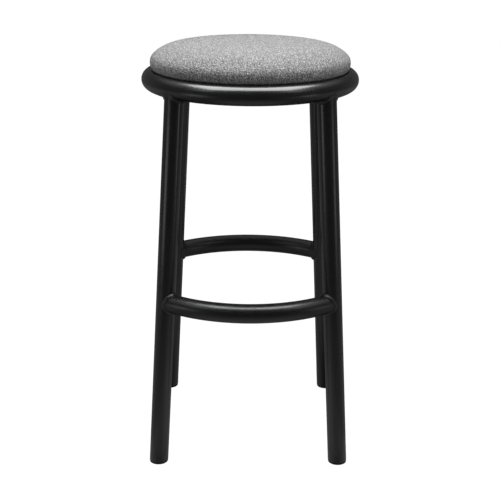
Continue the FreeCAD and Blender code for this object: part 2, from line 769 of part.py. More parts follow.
def cushion_arcs():
    """The cushion's outline from its underside up to its crown, as tangent arcs.

    Each is (driving size, centre, radius, first angle, last angle). The corner, lip, flank, edge,
    shoulder and crown bulge outwards, and the seat between corner and lip follows the ring.
    """
    waist = size("cushion_waist")
    radius = size("cushion_radius")
    rounding = size("hem_rounding")
    ring_centre = FreeCAD.Vector(size("ring_radius"), size("ring_height"), 0)
    seat_radius = size("tube_diameter") / 2 + size("ring_gap")
    crown_centre = FreeCAD.Vector(0, size("cushion_top") - size("crown_radius"), 0)
    edge_centre = FreeCAD.Vector(radius - size("edge_radius"), waist, 0)
    flank_centre = FreeCAD.Vector(radius - size("flank_radius"), waist, 0)
    shoulder_centre = meeting_points(
        edge_centre,
        size("shoulder_radius") - size("edge_radius"),
        crown_centre,
        size("crown_radius") - size("shoulder_radius"),
    )[0]
    lip_centre = meeting_points(
        flank_centre, size("flank_radius") - rounding, ring_centre, seat_radius + rounding
    )[1]
    corner_height = size("cushion_bottom") + rounding
    corner_reach = math.sqrt((seat_radius + rounding) ** 2 - (corner_height - ring_centre.y) ** 2)
    corner_centre = FreeCAD.Vector(ring_centre.x - corner_reach, corner_height, 0)

    def heading(start, end):
        return math.atan2(end.y - start.y, end.x - start.x)

    crown_turn = heading(crown_centre, shoulder_centre)
    shoulder_turn = heading(shoulder_centre, edge_centre)
    flank_turn = heading(flank_centre, lip_centre)
    lip_turn = heading(lip_centre, ring_centre)
    corner_turn = heading(corner_centre, ring_centre)
    return [
        ("hem_rounding", corner_centre, rounding, -math.pi / 2, corner_turn),
        ("ring_gap", ring_centre, seat_radius, lip_turn + math.pi, corner_turn + math.pi),
        ("hem_rounding", lip_centre, rounding, lip_turn, flank_turn),
        ("flank_radius", flank_centre, size("flank_radius"), flank_turn, 0),
        ("edge_radius", edge_centre, size("edge_radius"), 0, shoulder_turn),
        ("shoulder_radius", shoulder_centre, size("shoulder_radius"), shoulder_turn, crown_turn),
        ("crown_radius", crown_centre, size("crown_radius"), crown_turn, math.pi / 2),
    ]


def make_cushion_solid(label, inset):
    """The cushion turned from its outline, drawn in by an inset."""
    step = size(inset) if inset else 0.0
    inset_text = f"sizes.{inset}" if inset else "0"
    body = new_body(label)
    section = new_sketch(body, label + "_section", "XZ_Plane")
    arcs = cushion_arcs()
    ids = []
    for name, centre, radius, start, end in arcs:
        inwards = -step if name == "ring_gap" else step
        circle = Part.Circle(centre, FreeCAD.Vector(0, 0, 1), radius - inwards)
        ids.append(section.addGeometry(Part.ArcOfCircle(circle, start, end)))
    corner, seat, lip, _, edge, _, crown = ids
    floor = size("cushion_bottom") + step
    low = FreeCAD.Vector(0, floor, 0)
    corner_foot = FreeCAD.Vector(arcs[0][1].x, floor, 0)
    underside = section.addGeometry(Part.LineSegment(low, corner_foot))
    top = FreeCAD.Vector(0, size("cushion_top") - step, 0)
    axis_line = section.addGeometry(Part.LineSegment(top, low))

    section.addConstraint(Sketcher.Constraint("Tangent", underside, 2, corner, 1))
    section.addConstraint(Sketcher.Constraint("Tangent", corner, 2, seat, 2))
    section.addConstraint(Sketcher.Constraint("Tangent", seat, 1, lip, 1))
    for first, second in zip(ids[2:], ids[3:]):
        section.addConstraint(Sketcher.Constraint("Tangent", first, 2, second, 1))
    section.addConstraint(Sketcher.Constraint("Coincident", crown, 2, axis_line, 1))
    section.addConstraint(Sketcher.Constraint("Coincident", axis_line, 2, underside, 1))
    section.addConstraint(Sketcher.Constraint("Horizontal", underside))
    section.addConstraint(Sketcher.Constraint("PointOnObject", crown, 3, -2))
    pin_point(section, axis_line, 1, x="0", y=f"sizes.cushion_top - {inset_text}")
    pin_point(section, underside, 1, x="0", y=f"sizes.cushion_bottom + {inset_text}")
    pin_point(section, seat, 3, x="sizes.ring_radius", y="sizes.ring_height")
    pin_point(section, edge, 1, x=f"sizes.cushion_radius - {inset_text}", y="sizes.cushion_waist")
    pin_point(section, edge, 3, y="sizes.cushion_waist")
    bind_datum(section, f"{TUBE} + sizes.ring_gap + {inset_text}", "Radius", seat)
    for geometry, (name, *_) in zip(ids, arcs):
        if geometry != seat:
            bind_datum(section, f"sizes.{name} - {inset_text}", "Radius", geometry)
    add_revolution(body, section)
    return body


def make_disc_solid(label, radius, bottom, height):
    disc = doc.addObject("Part::Cylinder", label)
    bind(disc, Radius=radius, Height=height, Placement__Base__z=bottom)
    return disc


def make_seat_cover(staples):
    """The woven cover: a skin over the cushion that turns under the board and ends in a hem."""
    outside = make_cushion_solid("cover_outside", None)
    inside = make_cushion_solid("cover_inside", "cover_thickness")
    opening = make_disc_solid(
        "hem_opening",
        "sizes.hem_inner_radius",
        "sizes.cushion_bottom - 1",
        "sizes.cover_thickness + 2",
    )
    return keep("seat_cover", cut_all(outside, [inside, opening] + staples, "seat_cover"))


def make_seat_foam():
    """The foam pad, with a soft lip that hangs down round the edge of the board."""
    block = make_cushion_solid("foam_block", "foam_inset")
    board_space = make_disc_solid(
        "board_space",
        "sizes.board_radius + sizes.foam_clearance",
        "sizes.cushion_bottom",
        "sizes.board_bottom + sizes.board_thickness + sizes.foam_clearance - sizes.cushion_bottom",
    )
    return keep("seat_foam", cut(block, board_space, "seat_foam"))


def make_dust_cover(staples):
    """A thin sheet under the seat, with holes for the screws."""
    body = new_body("dust_cover_blank")
    disc = new_sketch(
        body, "dust_outline", "XY_Plane", "sizes.cushion_bottom - sizes.dust_thickness"
    )
    add_circle(disc, "sizes.dust_radius")
    add_pad(body, disc, "sizes.dust_thickness")
    hole = new_sketch(body, "dust_hole_outline", "XY_Plane", "sizes.cushion_bottom")
    add_circle(hole, "sizes.dust_hole / 2", x="sizes.fixing_radius")
    pierced = add_pocket(body, hole, "sizes.dust_thickness")
    add_polar(body, [pierced], "sizes.fixing_count")
    return keep("dust_cover", cut_all(body, staples, "dust_cover"))


# ---------------------------------------------------------------- assembly

ring_solid = make_ring_solid()
leg_solids = {corner: make_leg_solid(corner) for corner in CORNERS}
tube_floor = make_block_below("sizes.glide_height", "tube_floor")
glide_floor = make_block_below("0", "glide_floor")

make_seat_ring()
for corner in CORNERS:
    make_leg(corner, ring_solid, tube_floor)
    make_glide(corner, glide_floor, tube_floor)
for name, end in ENDS.items():
    make_footrest_bar(name, end, [leg_solids[name + "_left"], leg_solids[name + "_right"]])
doc.recompute()

make_beads("leg_weld_beads", make_leg_bead)
make_beads("footrest_weld_beads", make_bar_bead)

lugs = {name: make_seat_lug(name, angle) for name, angle in LUG_ANGLES.items()}
doc.recompute()
make_lug_beads(ring_solid, lugs)
make_screw_washers()
make_seat_screws()
make_insert_nuts()

hem_staples = make_staples(
    "hem_staples",
    "sizes.hem_staple_radius",
    "(sizes.cushion_bottom + sizes.staple_wire)",
    "sizes.hem_staple_count",
    "180 / sizes.hem_staple_count",
)
dust_staples = make_staples(
    "dust_cover_staples",
    "sizes.dust_staple_radius",
    "(sizes.cushion_bottom - sizes.dust_thickness)",
    "sizes.dust_staple_count",
    "180 / sizes.dust_staple_count",
)
make_seat_board([hem_staples, dust_staples])
make_seat_foam()
make_seat_cover([hem_staples, dust_staples])
make_dust_cover([dust_staples])
doc.recompute()

# ---------------------------------------------------------------- checks and files

for item in doc.Objects:
    if "Invalid" in item.State or "Error" in item.State:
        raise RuntimeError(f"{item.Label} is {item.State}")
for label, node in nodes.items():
    shape = node.Shape
    if shape.isNull() or not shape.isValid() or not shape.Solids:
        raise RuntimeError(f"{label} has no valid solid")
    print(f"{label}: {len(shape.Solids)} solids, {shape.Volume:.0f} mm3")
    shape.exportStep(f"parts/{label}.step")
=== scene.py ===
"""Bar stool with footrest: materials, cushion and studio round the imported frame.

Metres, +Z up, the front faces -Y. The tubes, welds, lugs, screws and glides are the CAD nodes with
new materials. The cover and the dust cover are made here and stand for their plain CAD solids.
"""

import math
import random

import bmesh
import bpy
from mathutils import Matrix, Vector, noise


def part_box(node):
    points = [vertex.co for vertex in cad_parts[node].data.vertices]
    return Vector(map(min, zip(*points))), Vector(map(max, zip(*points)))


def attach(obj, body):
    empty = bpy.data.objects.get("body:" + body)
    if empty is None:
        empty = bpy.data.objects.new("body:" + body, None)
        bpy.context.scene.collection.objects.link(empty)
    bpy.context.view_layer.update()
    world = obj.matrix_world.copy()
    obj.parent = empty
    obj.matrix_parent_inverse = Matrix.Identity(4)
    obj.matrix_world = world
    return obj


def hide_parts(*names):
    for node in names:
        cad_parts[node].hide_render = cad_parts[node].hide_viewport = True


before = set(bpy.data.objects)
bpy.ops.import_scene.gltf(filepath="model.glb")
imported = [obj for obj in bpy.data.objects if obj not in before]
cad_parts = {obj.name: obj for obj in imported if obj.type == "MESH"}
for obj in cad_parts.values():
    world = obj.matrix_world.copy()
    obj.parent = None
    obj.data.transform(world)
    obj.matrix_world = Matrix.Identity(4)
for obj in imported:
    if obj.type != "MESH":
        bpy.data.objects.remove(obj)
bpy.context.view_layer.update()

MM = 0.001

# ---------------------------------------------------------------- camera

CAMERA_DISTANCE = 2.0497      # in front of the stool's axis
CAMERA_HEIGHT = 1.0438
CAMERA_PITCH = 18.307         # degrees below the horizon
CAMERA_ROLL = 0.41            # degrees
CAMERA_SWING = -0.4           # degrees round the stool's axis
SENSOR_WIDTH = 36.0           # millimetres
FOCAL_LENGTH = 80.2           # millimetres
CAMERA_SHIFT = 0.0021         # of the picture's width
CAMERA_REACH = 200.0


def make_camera():
    data = bpy.data.cameras.new("camera")
    data.sensor_width = SENSOR_WIDTH
    data.lens = FOCAL_LENGTH
    data.shift_x = CAMERA_SHIFT
    data.clip_end = CAMERA_REACH
    camera = bpy.data.objects.new("camera", data)
    bpy.context.collection.objects.link(camera)
    tilt = Matrix.Rotation(math.radians(90.0 - CAMERA_PITCH), 4, "X")
    roll = Matrix.Rotation(math.radians(CAMERA_ROLL), 4, "Z")
    swing = Matrix.Rotation(math.radians(CAMERA_SWING), 4, "Z")
    place = Matrix.Translation((0.0, -CAMERA_DISTANCE, CAMERA_HEIGHT))
    camera.matrix_world = swing @ place @ tilt @ roll
    bpy.context.scene.camera = camera


# ---------------------------------------------------------------- node graphs


def grey(value):
    return (value, value, value)


class Graph:
    """The node tree of a material or a world."""

    def __init__(self, owner):
        owner.use_nodes = True
        self.tree = owner.node_tree

    def add(self, kind, inputs=None, **settings):
        """A node with its settings, and inputs that are either values or other nodes' outputs."""
        node = self.tree.nodes.new(kind)
        for name, value in settings.items():
            setattr(node, name, value)
        for name, value in (inputs or {}).items():
            self.feed(node.inputs[name], value)
        return node

    def feed(self, socket, value):
        if isinstance(value, bpy.types.NodeSocket):
            self.tree.links.new(value, socket)
        else:
            socket.default_value = value

    def math(self, operation, *values):
        inputs = dict(enumerate(values))
        return self.add("ShaderNodeMath", inputs, operation=operation).outputs[0]

    def combine(self, x, y, z=0.0):
        return self.add("ShaderNodeCombineXYZ", {0: x, 1: y, 2: z}).outputs[0]

    def noise(self, vector, scale, detail=2.0, roughness=0.5, distortion=0.0):
        inputs = {
            "Vector": vector,
            "Scale": scale,
            "Detail": detail,
            "Roughness": roughness,
            "Distortion": distortion,
        }
        return self.add("ShaderNodeTexNoise", inputs).outputs["Fac"]

    def remap(self, value, low, high, to_low=0.0, to_high=1.0):
        inputs = {
            "Value": value,
            "From Min": low,
            "From Max": high,
            "To Min": to_low,
            "To Max": to_high,
        }
        return self.add("ShaderNodeMapRange", inputs).outputs["Result"]

    def mix(self, share, first, second):
        inputs = {"Factor": share, 2: first, 3: second}
        return self.add("ShaderNodeMix", inputs, data_type="FLOAT").outputs[0]

    def blend(self, kind, first, second, share=1.0):
        """Two colours blended as MIX, ADD or MULTIPLY."""
        inputs = {"Factor": share, "A": first, "B": second}
        node = self.add("ShaderNodeMix", inputs, data_type="RGBA", blend_type=kind)
        return node.outputs["Result"]

    def ramp(self, value, stops):
        """A colour ramp from (position, colour) stops."""
        node = self.add("ShaderNodeValToRGB", {"Fac": value})
        elements = node.color_ramp.elements
        while len(elements) < len(stops):
            elements.new(0.5)
        for element, (position, colour) in zip(elements, stops):
            element.position = position
            element.color = (*colour, 1.0)
        return node.outputs["Color"]

    def bump(self, height, distance, strength=1.0, normal=None):
        inputs = {"Height": height, "Distance": distance, "Strength": strength}
        if normal is not None:
            inputs["Normal"] = normal
        return self.add("ShaderNodeBump", inputs).outputs["Normal"]


class MaterialGraph(Graph):
    """A material's node tree round one Principled shader."""

    def __init__(self, name):
        self.material = bpy.data.materials.new(name)
        super().__init__(self.material)
        self.shader = self.tree.nodes["Principled BSDF"]
        self.place = self.add("ShaderNodeTexCoord").outputs["Object"]

    def finish(self, **sockets):
        """Feed the shader; underscores stand for spaces."""
        for name, value in sockets.items():
            self.feed(self.shader.inputs[name.replace("_", " ")], value)
        return self.material


class WorldGraph(Graph):
    """The world's node tree: values built from the direction that is looked in."""

    def __init__(self, name):
        self.world = bpy.data.worlds.new(name)
        super().__init__(self.world)
        direction = self.add("ShaderNodeTexCoord").outputs["Generated"]
        self.x, self.y, self.z = self.add("ShaderNodeSeparateXYZ", {0: direction}).outputs

    def glow(self, component, stops):
        """Grey from a direction component, with stops that run from -1 to 1."""
        share = self.remap(component, -1.0, 1.0)
        return self.ramp(share, [((place + 1.0) / 2.0, grey(shade)) for place, shade in stops])


# ---------------------------------------------------------------- materials of the hard parts


def powder_coat(name, smoothest, roughest):
    """Black satin powder coat: a fine grain on a slow orange peel, with faint tone changes."""
    graph = MaterialGraph(name)
    grain = graph.noise(graph.place, 2600.0, detail=1.0)
    peel = graph.noise(graph.place, 420.0, detail=2.0)
    cloud = graph.noise(graph.place, 9.0, detail=3.0)
    colour = graph.ramp(cloud, [(0.3, (0.004, 0.004, 0.0044)), (0.7, (0.0065, 0.0065, 0.007))])
    rough = graph.remap(graph.noise(graph.place, 60.0, detail=4.0), 0.3, 0.7, smoothest, roughest)
    relief = graph.bump(grain, 0.00003, 0.25, graph.bump(peel, 0.00012, 0.12))
    return graph.finish(
        Base_Color=colour,
        Roughness=rough,
        Normal=relief,
        Specular_IOR_Level=0.7,
    )


def moulded_plastic():
    """Black polyamide of the glides, with a fine spark-eroded texture."""
    graph = MaterialGraph("moulded_plastic")
    grain = graph.noise(graph.place, 1800.0, detail=3.0, roughness=0.7)
    colour = graph.ramp(grain, [(0.3, (0.005, 0.005, 0.005)), (0.7, (0.009, 0.009, 0.009))])
    rough = graph.remap(grain, 0.3, 0.7, 0.5, 0.65)
    return graph.finish(
        Base_Color=colour,
        Roughness=rough,
        Normal=graph.bump(grain, 0.00005, 0.4),
        Specular_IOR_Level=0.25,
    )


def plated_steel():
    """Zinc-plated steel: pale, faintly blue, with soft cloudy spangle."""
    graph = MaterialGraph("plated_steel")
    cloud = graph.noise(graph.place, 300.0, detail=5.0, roughness=0.6)
    colour = graph.ramp(cloud, [(0.25, (0.42, 0.43, 0.45)), (0.75, (0.62, 0.63, 0.65))])
    rough = graph.remap(cloud, 0.2, 0.8, 0.28, 0.45)
    return graph.finish(
        Base_Color=colour, Roughness=rough, Normal=graph.bump(cloud, 0.00004, 0.3), Metallic=1.0
    )


def black_oxide():
    """Black-oxide steel of the screws and washers, slightly oily."""
    graph = MaterialGraph("black_oxide")
    cloud = graph.noise(graph.place, 500.0, detail=4.0, roughness=0.6)
    colour = graph.ramp(cloud, [(0.25, (0.018, 0.018, 0.020)), (0.75, (0.045, 0.044, 0.043))])
    rough = graph.remap(cloud, 0.2, 0.8, 0.3, 0.5)
    return graph.finish(
        Base_Color=colour, Roughness=rough, Normal=graph.bump(cloud, 0.00004, 0.3), Metallic=0.8
    )


def plywood():
    """Birch plywood: long grain across the face, with the dark lines of its plies on the rim."""
    graph = MaterialGraph("plywood")
    stretched = graph.add(
        "ShaderNodeMapping", {"Vector": graph.place, "Scale": (14.0, 160.0, 160.0)}
    ).outputs[0]
    grain = graph.noise(stretched, 1.0, detail=8.0, roughness=0.65, distortion=0.6)
    colour = graph.ramp(
        grain, [(0.25, (0.42, 0.29, 0.17)), (0.5, (0.60, 0.45, 0.29)), (0.8, (0.72, 0.58, 0.41))]
    )
    return graph.finish(Base_Color=colour, Roughness=0.6, Normal=graph.bump(grain, 0.0002, 0.3))


def open_foam():
    """Cream open-cell foam."""
    graph = MaterialGraph("open_foam")
    cells = graph.add(
        "ShaderNodeTexVoronoi", {"Vector": graph.place, "Scale": 900.0}
    ).outputs["Distance"]
    colour = graph.ramp(cells, [(0.1, (0.50, 0.46, 0.36)), (0.6, (0.80, 0.77, 0.68))])
    return graph.finish(Base_Color=colour, Roughness=0.95, Normal=graph.bump(cells, 0.0006, 0.7))


# ---------------------------------------------------------------- cushion outline

EDGE_RADIUS = 16.0 * MM
SHOULDER_RADIUS = 72.0 * MM
CROWN_RADIUS = 2500.0 * MM
FLANK_RADIUS = 38.0 * MM
HEM_ROUNDING = 3.0 * MM
WAIST_ABOVE_BOTTOM = 22.2 * MM
HEM_INNER_RADIUS = 146.0 * MM
RING_CENTRE = Vector((182.5 * MM, 700.0 * MM))
SEAT_RADIUS = 18.8 * MM       # the hollow that fits over the ring

cover_low, cover_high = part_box("seat_cover")
CUSHION_RADIUS = (cover_high[0] - cover_low[0]) / 2.0
CUSHION_BOTTOM = cover_low[2]
CUSHION_TOP = cover_high[2]
CUSHION_WAIST = CUSHION_BOTTOM + WAIST_ABOVE_BOTTOM


def meeting_points(centre_a, gap_a, centre_b, gap_b):
    """The two points at a given distance from each of two centres, in order of radius."""
    between = centre_b - centre_a
    along = (gap_a ** 2 - gap_b ** 2 + between.length_squared) / (2.0 * between.length)
    aside = math.sqrt(gap_a ** 2 - along ** 2)
    forward = between.normalized()
    sideways = Vector((-forward.y, forward.x))
    found = [centre_a + forward * along + sideways * aside * sign for sign in (-1.0, 1.0)]
    return sorted(found, key=lambda point: point.x)


def cushion_arcs():
    """The cushion's outline from the top down: crown, shoulder, edge, flank, lip, ring and corner.

    Each is (centre, radius, first angle, last angle, side). The side is 1 where the outline bulges
    outwards and -1 where it follows the ring.
    """
    crown = Vector((0.0, CUSHION_TOP - CROWN_RADIUS))
    edge = Vector((CUSHION_RADIUS - EDGE_RADIUS, CUSHION_WAIST))
    flank = Vector((CUSHION_RADIUS - FLANK_RADIUS, CUSHION_WAIST))
    to_edge = SHOULDER_RADIUS - EDGE_RADIUS
    to_crown = CROWN_RADIUS - SHOULDER_RADIUS
    shoulder = meeting_points(edge, to_edge, crown, to_crown)[0]
    beside_ring = SEAT_RADIUS + HEM_ROUNDING
    lip = meeting_points(flank, FLANK_RADIUS - HEM_ROUNDING, RING_CENTRE, beside_ring)[1]
    corner_height = CUSHION_BOTTOM + HEM_ROUNDING
    reach = math.sqrt(beside_ring ** 2 - (corner_height - RING_CENTRE.y) ** 2)
    corner = Vector((RING_CENTRE.x - reach, corner_height))

    def heading(start, end):
        return math.atan2(end.y - start.y, end.x - start.x)

    lip_turn = heading(lip, RING_CENTRE)
    corner_turn = heading(corner, RING_CENTRE)
    return [
        (crown, CROWN_RADIUS, math.pi / 2.0, heading(crown, shoulder), 1),
        (shoulder, SHOULDER_RADIUS, heading(crown, shoulder), heading(shoulder, edge), 1),
        (edge, EDGE_RADIUS, heading(shoulder, edge), 0.0, 1),
        (flank, FLANK_RADIUS, 0.0, heading(flank, lip), 1),
        (lip, HEM_ROUNDING, heading(flank, lip), lip_turn, 1),
        (RING_CENTRE, SEAT_RADIUS, lip_turn + math.pi, corner_turn + math.pi, -1),
        (corner, HEM_ROUNDING, corner_turn, -math.pi / 2.0, 1),
    ]


def arc_point(arc, share, inset=0.0):
    """A point on an arc, at a share of its length and an inset into the cushion."""
    centre, radius, first, last, side = arc
    angle = first + (last - first) * share
    return centre + Vector((math.cos(angle), math.sin(angle))) * (radius - side * inset)


def arc_length(arc):
    _, radius, first, last, _ = arc
    return radius * abs(last - first)


CUSHION_ARCS = cushion_arcs()
SEEN_ARCS = CUSHION_ARCS[:4]  # crown to flank, above the ring


# ---------------------------------------------------------------- materials of the soft parts

YARN_PITCH = 1.35 * MM
MELANGE_DARK = 0.024
MELANGE_MID = 0.127
MELANGE_LIGHT = 0.405
WARP_SLUB = 0.20              # tone changes per yarn pitch, along the yarns that run to the back
WEFT_SLUB = 0.45
SPECK = 0.9                   # short specks per yarn pitch
YARN_SPREAD = 73.1            # from yarn to yarn in the noise, so that neighbours share no tone
NUB_HEIGHT = 3.4 * MM
WEAVE_HEIGHT = 0.5 * MM
FUZZ_HEIGHT = 0.2 * MM
SMALLEST_RADIUS = 0.02        # keeps the stretch finite at the middle of the cloth
BOND_PITCH = 2.2 * MM         # of the dust cover's bonding dots


def cloth_coordinates(graph):
    """Flat coordinates of the cloth drawn over the cushion.

    Away from the crown the cloth runs on down the side, so a point's distance from the middle of
    the cloth is its radius plus what the outline has added on its way down to that height.
    """
    x, y, z = graph.add("ShaderNodeSeparateXYZ", {0: graph.place}).outputs
    x_squared = graph.math("MULTIPLY", x, x)
    y_squared = graph.math("MULTIPLY", y, y)
    radius = graph.math("SQRT", graph.math("ADD", x_squared, y_squared))
    stops = [(CUSHION_TOP, 0.0)]
    run = 0.0
    for arc in SEEN_ARCS:
        run += arc_length(arc)
        end = arc_point(arc, 1.0)
        stops.append((end.y, run - end.x))
    curve = graph.add(
        "ShaderNodeFloatCurve", {"Value": graph.remap(z, CUSHION_BOTTOM, CUSHION_TOP)}
    )
    most = max(extra for _, extra in stops)
    points = curve.mapping.curves[0].points
    while len(points) < len(stops):
        points.new(0.5, 0.5)
    for point, (height, extra) in zip(points, sorted(stops)):
        share = (height - CUSHION_BOTTOM) / (CUSHION_TOP - CUSHION_BOTTOM)
        point.location = (share, extra / most)
    curve.mapping.update()
    added = graph.math("MULTIPLY", curve.outputs[0], most)
    divisor = graph.math("MAXIMUM", radius, SMALLEST_RADIUS)
    stretch = graph.math("ADD", 1.0, graph.math("DIVIDE", added, divisor))
    return graph.math("MULTIPLY", x, stretch), graph.math("MULTIPLY", y, stretch)


def melange_weave():
    """Plain weave of melange yarns: each yarn changes tone along its length."""
    graph = MaterialGraph("melange_weave")
    across, along = cloth_coordinates(graph)
    u = graph.math("DIVIDE", across, YARN_PITCH)
    v = graph.math("DIVIDE", along, YARN_PITCH)
    column = graph.math("FLOOR", u)
    row = graph.math("FLOOR", v)
    warp_on_top = graph.math("MODULO", graph.math("ABSOLUTE", graph.math("ADD", column, row)), 2.0)

    def yarn_tone(index, travel, seed, slubs):
        """Tone along one yarn: long slubs and short specks, different on every yarn."""
        place = graph.combine(graph.math("MULTIPLY", index, YARN_SPREAD), travel, seed)
        slub = graph.noise(place, slubs, detail=1.0)
        speck = graph.noise(place, SPECK, detail=2.0, roughness=0.7)
        half_slub = graph.math("MULTIPLY", slub, 0.5)
        half_speck = graph.math("MULTIPLY", speck, 0.5)
        return graph.math("ADD", half_slub, half_speck)

    warp = yarn_tone(column, v, seed=3.0, slubs=WARP_SLUB)
    weft = yarn_tone(row, u, seed=11.0, slubs=WEFT_SLUB)
    tone = graph.mix(warp_on_top, weft, warp)
    colour = graph.ramp(
        tone,
        [(0.34, grey(MELANGE_DARK)), (0.50, grey(MELANGE_MID)), (0.66, grey(MELANGE_LIGHT))],
    )

    def hump(position):
        """0 at a yarn's edges and 1 along its middle."""
        share = graph.math("FRACT", position)
        return graph.math("SINE", graph.math("MULTIPLY", share, math.pi))

    across_hump = hump(u)
    along_hump = hump(v)
    warp_height = graph.math("MULTIPLY", across_hump, graph.remap(along_hump, 0.0, 1.0, 0.45, 1.0))
    weft_height = graph.math("MULTIPLY", along_hump, graph.remap(across_hump, 0.0, 1.0, 0.45, 1.0))
    height = graph.mix(warp_on_top, weft_height, warp_height)
    fuzz = graph.noise(graph.place, 3000.0, detail=2.0, roughness=0.7)
    nubs = graph.noise(graph.place, 400.0, detail=1.0, roughness=0.6)
    weave = graph.bump(height, WEAVE_HEIGHT, 0.6, graph.bump(nubs, NUB_HEIGHT, 0.9))
    relief = graph.bump(fuzz, FUZZ_HEIGHT, 0.35, weave)
    return graph.finish(
        Base_Color=colour,
        Roughness=0.92,
        Normal=relief,
        Specular_IOR_Level=0.2,
        Sheen_Weight=0.12,
        Sheen_Roughness=0.5,
    )


def non_woven():
    """Black spun-bonded sheet: matted fibres with a grid of small bonding dots."""
    graph = MaterialGraph("non_woven")
    fibres = graph.noise(graph.place, 700.0, detail=6.0, roughness=0.75, distortion=1.5)
    x, y, _ = graph.add("ShaderNodeSeparateXYZ", {0: graph.place}).outputs

    def wave(position):
        return graph.math("SINE", graph.math("MULTIPLY", position, 2.0 * math.pi / BOND_PITCH))

    dots = graph.remap(graph.math("MULTIPLY", wave(x), wave(y)), 0.45, 0.75)
    colour = graph.ramp(fibres, [(0.3, (0.008, 0.008, 0.009)), (0.7, (0.034, 0.034, 0.036))])
    height = graph.math("SUBTRACT", fibres, graph.math("MULTIPLY", dots, 0.6))
    return graph.finish(
        Base_Color=colour,
        Roughness=0.9,
        Normal=graph.bump(height, 0.0003, 0.6),
        Specular_IOR_Level=0.25,
    )


# ---------------------------------------------------------------- carried-over CAD nodes


def dress(material, *names):
    """Give CAD nodes a material."""
    for name in names:
        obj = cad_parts[name]
        obj.data.materials.clear()
        obj.data.materials.append(material)


def named(*starts):
    """The CAD nodes whose names begin with one of these."""
    return [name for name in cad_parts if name.startswith(starts)]


def dress_frame():
    """Materials of every CAD node; the coat is rougher on the bars, and more so on the welds."""
    welds = [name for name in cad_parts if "weld" in name]
    tubes = [name for name in named("seat_ring", "leg_", "seat_lug_") if name not in welds]
    bars = ["footrest_front_bar", "footrest_rear_bar"]
    dress(powder_coat("powder_coat", 0.22, 0.28), *tubes)
    dress(powder_coat("powder_coat_on_bars", 0.29, 0.35), *bars)
    dress(powder_coat("powder_coat_on_welds", 0.38, 0.46), *welds)
    dress(moulded_plastic(), *named("glide_"))
    dress(plated_steel(), "insert_nuts", "hem_staples", "dust_cover_staples")
    dress(black_oxide(), "seat_screws", "screw_washers")
    dress(plywood(), "seat_board")
    dress(open_foam(), "seat_foam")


# ---------------------------------------------------------------- cushion

CUSHION_SEGMENTS = 144
RING_SPACING = 4.0 * MM
SIM_SWELL = 0.3 * MM          # the outline is drawn in this far before the cover is inflated
SIM_PRESSURE = 1.0
SIM_FRAMES = 20
SIM_SINK = 0.4 * MM           # the cover lies on its foam, so it sinks no further than this
SIM_RISE = 0.9 * MM
HELD_BELOW_WAIST = 9.0 * MM   # further down the cover is pinned
PLEATS = 44
PLEAT_DEPTH = 0.5 * MM
PLEAT_WANDER = 0.25           # of a pleat's width, either way
PLEAT_FADE = 12.0 * MM        # inwards from the hem's corner, to full depth
PLEAT_CEILING = 2.0 * MM      # above the underside, where the pleats end
BOARD_STEP = 1.0 * MM         # the hem's edge rises this far to the board
UNDERSIDE_STEPS = [(0.99, BOARD_STEP), (0.6, 0.0), (0.3, 0.0)]     # (shrink, rise) from the hem


def cushion_outline(inset):
    """Points from the top centre to the hem's inner edge, as (radius, height)."""
    points = []
    for arc in CUSHION_ARCS:
        steps = max(3, round(arc_length(arc) / RING_SPACING))
        points.extend(arc_point(arc, step / steps, inset) for step in range(steps))
    last = arc_point(CUSHION_ARCS[-1], 1.0, inset)
    underside_steps = round((last.x - HEM_INNER_RADIUS) / RING_SPACING)
    for step in range(underside_steps + 1):
        radius = last.x + (HEM_INNER_RADIUS - last.x) * step / underside_steps
        points.append(Vector((radius, last.y)))
    return points


def lathe(name, outline, segments):
    """A mesh turned from an outline whose first point is on the axis."""
    mesh = bmesh.new()
    centre = mesh.verts.new((0.0, 0.0, outline[0].y))
    rings = []
    for point in outline[1:]:
        ring = []
        for step in range(segments):
            angle = 2.0 * math.pi * step / segments
            x, y = point.x * math.cos(angle), point.x * math.sin(angle)
            ring.append(mesh.verts.new((x, y, point.y)))
        rings.append(ring)
    for step in range(segments):
        after = (step + 1) % segments
        mesh.faces.new((centre, rings[0][step], rings[0][after]))
        for upper, lower in zip(rings, rings[1:]):
            mesh.faces.new((upper[step], lower[step], lower[after], upper[after]))
    data = bpy.data.meshes.new(name)
    mesh.to_mesh(data)
    mesh.free()
    obj = bpy.data.objects.new(name, data)
    bpy.context.collection.objects.link(obj)
    return obj


def apply_modifiers(obj):
    """Bake an object's modifiers into its mesh."""
    evaluated = obj.evaluated_get(bpy.context.evaluated_depsgraph_get())
    baked = bpy.data.meshes.new_from_object(evaluated)
    obj.modifiers.clear()
    obj.data = baked


def shade_smooth(obj):
    for polygon in obj.data.polygons:
        polygon.use_smooth = True


